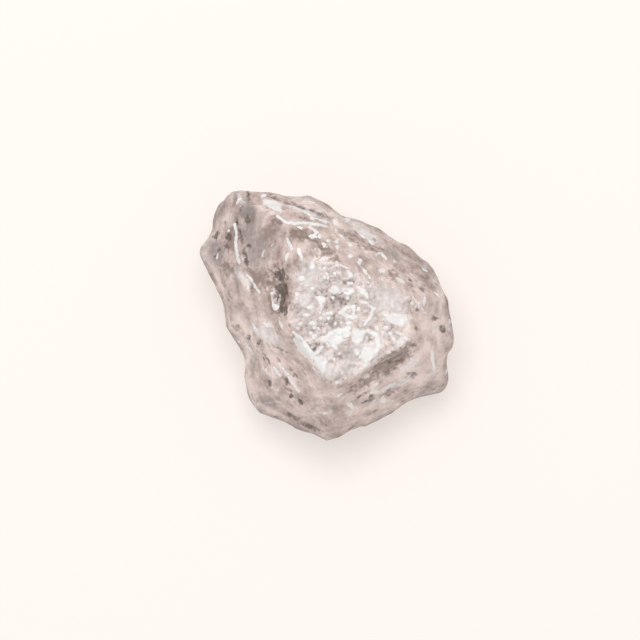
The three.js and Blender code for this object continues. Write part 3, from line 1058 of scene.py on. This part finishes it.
broad_tone = noise(TONE_SIZE, detail=4)
mottle = noise(MOTTLE_SIZE, detail=3)
speckle = noise(SPECKLE_SIZE, detail=2)
tear = {0: noise(MOTTLE_SIZE, detail=2, output="Color"), 1: (TORN, TORN, TORN), 2: place}
torn = node("ShaderNodeVectorMath", tear, operation="MULTIPLY_ADD").outputs[0]
grain, grain_far = cells(GRAIN_SIZE)
chip, chip_far = cells(CHIP_SIZE)
bands = {"Vector": scaled(place, GROWTH_SIZE), "Scale": 1.0, "Detail": 3.0}
growth = node("ShaderNodeTexNoise", bands).outputs["Fac"]
print(len(tree.nodes), "nodes for the textures")

# %% [markdown]
# ## The ground colour
# The colour is built up as a painter would: a pink ground that runs from deep to pale, with a painted glow on
# the lower side, then smoke and stains, one of them partly painted shade, then soft whites, dirt and painted
# shade along the rim, and the crisp whites and painted highlights last. Tones of several sizes add up in the
# ground, from broad clouds to fine speckles. Each mark's gap is made ragged by the mottling before it is cut,
# so its edge looks broken and not drawn.

# %% The ground: pink with a painted glow below, smoke, and stains with some painted shade
PINK_PALE = (0.92, 0.785, 0.745, 1)
PINK_DEEP = (0.33, 0.247, 0.222, 1)
STAIN_AND_SHADE_BROWN = (0.23, 0.17, 0.14, 1)
SMOKE_GREY = (0.315, 0.275, 0.262, 1)
BROAD_CHANGE, MOTTLE_CHANGE, GROWTH_CHANGE, SPECKLE_CHANGE = 0.38, 0.16, 0.09, 0.11
SMOKE_SPAN, SMOKE_COVER = (0.3, 0.65), (1, 0.55)
STAIN_EDGE, STAIN_RAGGED, STAIN_COVER = 0.12, 0.2, (0.85, 0.5)


def varied(texture, span, change):
    """A texture spread evenly to both sides of nothing."""
    return ramp(texture, *span, -change, change)


def within(name, edge, ragged):
    """1 inside a mark: its gap in mm, shifted by the mottling, cut over twice the width of edge."""
    shifted = calc("ADD", mask(name), varied(mottle, NOISE_SPAN, ragged))
    return ramp(shifted, -edge, edge, 1, 0)


def all_of(*shares):
    """Shares multiplied together."""
    return calc("MULTIPLY", *shares)


tones = (
    mask("tone"),
    varied(broad_tone, NOISE_SPAN, BROAD_CHANGE),
    varied(mottle, NOISE_SPAN, MOTTLE_CHANGE),
    varied(growth, NARROW_SPAN, GROWTH_CHANGE),
    varied(speckle, NOISE_SPAN, SPECKLE_CHANGE),
)
colour = cover(PINK_DEEP, PINK_PALE, ramp(calc("ADD", *tones), 0, 1))
smoky = all_of(mask("smoke"), ramp(mottle, *SMOKE_SPAN, *SMOKE_COVER))
# the brown of the stains, partly painted shade in the hollow under the face's right edge
stain_and_shade = all_of(within("stain_and_shade_gap", STAIN_EDGE, STAIN_RAGGED), ramp(mottle, *NOISE_SPAN, *STAIN_COVER))
colour = cover(cover(colour, SMOKE_GREY, smoky), STAIN_AND_SHADE_BROWN, stain_and_shade)
print(len(tree.nodes), "nodes with the ground")

# %% [markdown]
# ## Soft whites, dirt and painted rim shade
# Frost, veils and bruises are white because tiny cracks scatter the light, and they are seen through in part.
# Dirt lies on top of them, in the pits and in a few small chips that Voronoi cells place by chance all over
# the flanks, and painted shade darkens the rim along the outline.

# %% Soft whites, dirt and painted rim shade
# white for frost and crisp marks, and also for the painted highlights and glints
FROST_AND_HIGHLIGHT_WHITE = (0.96, 0.99, 0.99, 1)
# the brown of the painted shade along the outline
RIM_SHADE_BROWN = (0.22, 0.17, 0.14, 1)
PIT_DARK = (0.075, 0.053, 0.044, 1)
FACE_COVER, VEIL_COVER = (0.04, 0.38), (0.3, 0.6)
WEAR_SPAN, WEAR_COVER = (0.2, 0.8), (0.25, 0.75)
PIT_EDGE, PIT_RAGGED, PIT_COVER = 0.07, 0.1, (0.95, 0.5)
CHIP_RAGGED, CHIP_REACH = 0.15, (0.26, 0.34)
DARK_CHIPS, DARK_CHIP_COVER = (0.08, 0.05), 0.5
FLANK_FADE = (0, 0.5)
on_flank = all_of(mask("dense"), ramp(mask("face"), *FLANK_FADE, 1, 0))
chip_shape = ramp(calc("ADD", chip_far, varied(mottle, NOISE_SPAN, CHIP_RAGGED)), *CHIP_REACH, 1, 0)
soft_whites = (
    all_of(mask("face"), ramp(mottle, *NARROW_SPAN, *FACE_COVER)),
    all_of(mask("veil"), ramp(mottle, *NOISE_SPAN, *VEIL_COVER)),
    all_of(mask("wear"), ramp(grain[2], *WEAR_SPAN, *WEAR_COVER)),
)
pits = (
    all_of(within("dark_gap", PIT_EDGE, PIT_RAGGED), ramp(mottle, *NOISE_SPAN, *PIT_COVER)),
    all_of(chip_shape, on_flank, ramp(chip[0], *DARK_CHIPS), DARK_CHIP_COVER),
)
frosted = calc("MAXIMUM", *soft_whites)
colour = cover(colour, FROST_AND_HIGHLIGHT_WHITE, frosted)
# painted shade along the outline
colour = cover(colour, RIM_SHADE_BROWN, mask("rim_shade"))
colour = cover(colour, PIT_DARK, calc("MAXIMUM", *pits))
print(len(tree.nodes), "nodes with the dirt")

# %% [markdown]
# ## Crisp whites and painted highlights
# Flakes, threads and panes are clean breaks, so they have sharp edges and hide what is under them. The panes
# are partly painted highlights, and one flake and the left ridge thread are painted highlights. On the
# frosted face a third of the grains carry painted glints as well, though only faintly under the veils.

# %% Crisp whites and painted highlights
SPARKLE_CHANCE, SPARKLE_REACH = (0.66, 0.7), (0.34, 0.42)
VEIL_SPAN, VEIL_LEFT = (0, 0.6), (1, 0.2)
WHITE_CHIPS, WHITE_CHIP_COVER = (0.9, 0.93), 0.9
PANE_EDGE, PANE_RAGGED, PANE_COVER = 0.05, 0.1, (1, 0.65)
FLAKE_EDGE, FLAKE_RAGGED, FLAKE_COVER = 0.05, 0.09, (1, 0.8)
THREAD_EDGE, THREAD_RAGGED = 0.04, 0.06
THREAD_SPAN, THREAD_COVER = (0.35, 0.5), (0.75, 1)
# painted glints: a third of the face's grains are painted white as highlights, faint under the veils
painted_glints = (
    ramp(mask("veil"), *VEIL_SPAN, *VEIL_LEFT),
    ramp(grain[1], *SPARKLE_CHANCE),
    ramp(grain_far, *SPARKLE_REACH, 1, 0),
)
crisp_whites_and_highlights = (
    all_of(mask("face"), *painted_glints),
    all_of(chip_shape, on_flank, ramp(chip[0], *WHITE_CHIPS), WHITE_CHIP_COVER),
    all_of(within("pane_gap", PANE_EDGE, PANE_RAGGED), ramp(mottle, *NOISE_SPAN, *PANE_COVER)),
    all_of(within("flake_gap", FLAKE_EDGE, FLAKE_RAGGED), ramp(mottle, *NARROW_SPAN, *FLAKE_COVER)),
    all_of(within("thread_gap", THREAD_EDGE, THREAD_RAGGED), ramp(broad_tone, *THREAD_SPAN, *THREAD_COVER)),
)
# crisp whites together with the painted highlights and glints
crisp_and_highlights = calc("MAXIMUM", *crisp_whites_and_highlights)
colour = cover(colour, FROST_AND_HIGHLIGHT_WHITE, crisp_and_highlights)
print(len(tree.nodes), "nodes with the colour")

# %% [markdown]
# ## The finish
# Morganite is clear inside, but broken and frosted skin scatters most of the light before it gets in. So the
# shader is one Principled BSDF: a share of plain transmission with beryl's refractive index, absorption that
# tints what goes through, a little subsurface glow, and the colour above. Clear skin is glossy and frost is
# dull. Grains, growth bands and grit also go into the bump.

# %% Shader of the stone
BERYL_INDEX = 1.58
CLEAR_SHARE = 0.36
INNER_PINK, INNER_DENSITY = (0.86, 0.7, 0.64, 1), 35.0
GLOW_SHARE, GLOW_DEPTH, GLOW_RADIUS = 0.2, 0.5 * MM, (1.0, 0.7, 0.6)
BUMP_STRENGTH, BUMP_HEIGHT = 0.45, 0.04 * MM
GRAIN_BUMP, GROWTH_BUMP, GRIT_BUMP = -0.3, 1.5, (0.15, 0.6)
GLOSSY, DULL = 0.1, 0.62
MOTTLE_DULL, FACE_DULL, DULL_SPAN = 0.3, 0.2, (0.15, 0.9)

heights = (
    all_of(grain_far, mask("face"), GRAIN_BUMP),
    all_of(noise(GRIT_TEXTURE, detail=3), ramp(mask("face"), 0, 1, *GRIT_BUMP)),
    all_of(growth, GROWTH_BUMP),
)
relief = {"Strength": BUMP_STRENGTH, "Distance": BUMP_HEIGHT, "Height": calc("ADD", *heights)}
dull_shares = (calc("MAXIMUM", frosted, crisp_and_highlights), all_of(mottle, MOTTLE_DULL), all_of(mask("face"), FACE_DULL))
skin = node(
    "ShaderNodeBsdfPrincipled",
    {
        "Base Color": colour,
        "Roughness": ramp(calc("ADD", *dull_shares), *DULL_SPAN, GLOSSY, DULL),
        "Normal": node("ShaderNodeBump", relief).outputs[0],
        "IOR": BERYL_INDEX,
        "Transmission Weight": CLEAR_SHARE,
        "Subsurface Weight": GLOW_SHARE,
        "Subsurface Radius": GLOW_RADIUS,
        "Subsurface Scale": GLOW_DEPTH,
    },
)
inner = node("ShaderNodeVolumeAbsorption", {"Color": INNER_PINK, "Density": INNER_DENSITY})
node("ShaderNodeOutputMaterial", {"Surface": skin.outputs[0], "Volume": inner.outputs[0]})
stone.data.materials.append(material)
print("finish on", stone.name, "with", len(tree.nodes), "nodes")

# %% [markdown]
# ## Floor
# The stone lies on a plain pale sheet that glows a little, as a light table does, so that hardly any shadow
# is left and some light comes up through the stone. A white sheet under stronger lamps would do as well, but
# it would bleach the stone.

# %% Glowing sheet
FLOOR_HALF = 1.5
FLOOR_DROP = 0.02 * MM
FLOOR_CREAM, FLOOR_GLOW = (0.38, 0.352, 0.334, 1), 0.5
GLOW_CREAM = (1.0, 0.938, 0.888, 1)
FLOOR_ROUGHNESS = 0.9

square = np.array([(-1, -1, 0), (1, -1, 0), (1, 1, 0), (-1, 1, 0)])
floor = mesh_object("floor", FLOOR_HALF * square - np.array([0, 0, FLOOR_DROP]), np.array([[0, 1, 2, 3]]))
paper = bpy.data.materials.new("floor_paper")
paper.use_nodes = True
paper_skin = paper.node_tree.nodes["Principled BSDF"]
paper_skin.inputs["Base Color"].default_value = FLOOR_CREAM
paper_skin.inputs["Roughness"].default_value = FLOOR_ROUGHNESS
paper_skin.inputs["Emission Color"].default_value = GLOW_CREAM
paper_skin.inputs["Emission Strength"].default_value = FLOOR_GLOW
floor.data.materials.append(paper)
print("floor", 2 * FLOOR_HALF, "m wide")

# %% [markdown]
# ## Light
# A soft light leans in from behind the peaked end, small enough to leave a gloss on clean breaks, and a pale
# room fills the rest.

# %% Room and softbox
ROOM_WHITE, ROOM_LIGHT = (1.0, 0.985, 0.97, 1), 0.7
BOX_SIZE, BOX_POWER = 0.24, 1.15
BOX_PLACE, BOX_TILT = (-0.03, 0.12, 0.36), (-0.32, -0.08, 0)
room = bpy.data.worlds.new("soft_room")
room.use_nodes = True
room.node_tree.nodes["Background"].inputs["Color"].default_value = ROOM_WHITE
room.node_tree.nodes["Background"].inputs["Strength"].default_value = ROOM_LIGHT
bpy.context.scene.world = room

lamp = bpy.data.lights.new("softbox", "AREA")
lamp.size = BOX_SIZE
lamp.energy = BOX_POWER
softbox = bpy.data.objects.new("softbox", lamp)
softbox.location = BOX_PLACE
softbox.rotation_euler = BOX_TILT
bpy.context.scene.collection.objects.link(softbox)
print("a room and", softbox.name)

# %% [markdown]
# ## Camera
# The camera looks straight down through a long lens, so that the outline is true. An orthographic camera
# would be truer still, but a lens is what a photographer has.

# %% Overhead camera
LENS, SENSOR = 300, 36
FRAME_WIDTH = 52.2 * MM
AIM = np.array([-0.56, -0.32, 6.0]) * MM
lens = bpy.data.cameras.new("overhead")
lens.lens = LENS
lens.sensor_width = SENSOR
camera = bpy.data.objects.new("overhead", lens)
camera.location = AIM + np.array([0, 0, FRAME_WIDTH * LENS / SENSOR])
bpy.context.scene.collection.objects.link(camera)
bpy.context.scene.camera = camera
bpy.context.scene.view_settings.view_transform = "Standard"
print("camera at", np.round(np.array(camera.location) / MM, 1), "mm")
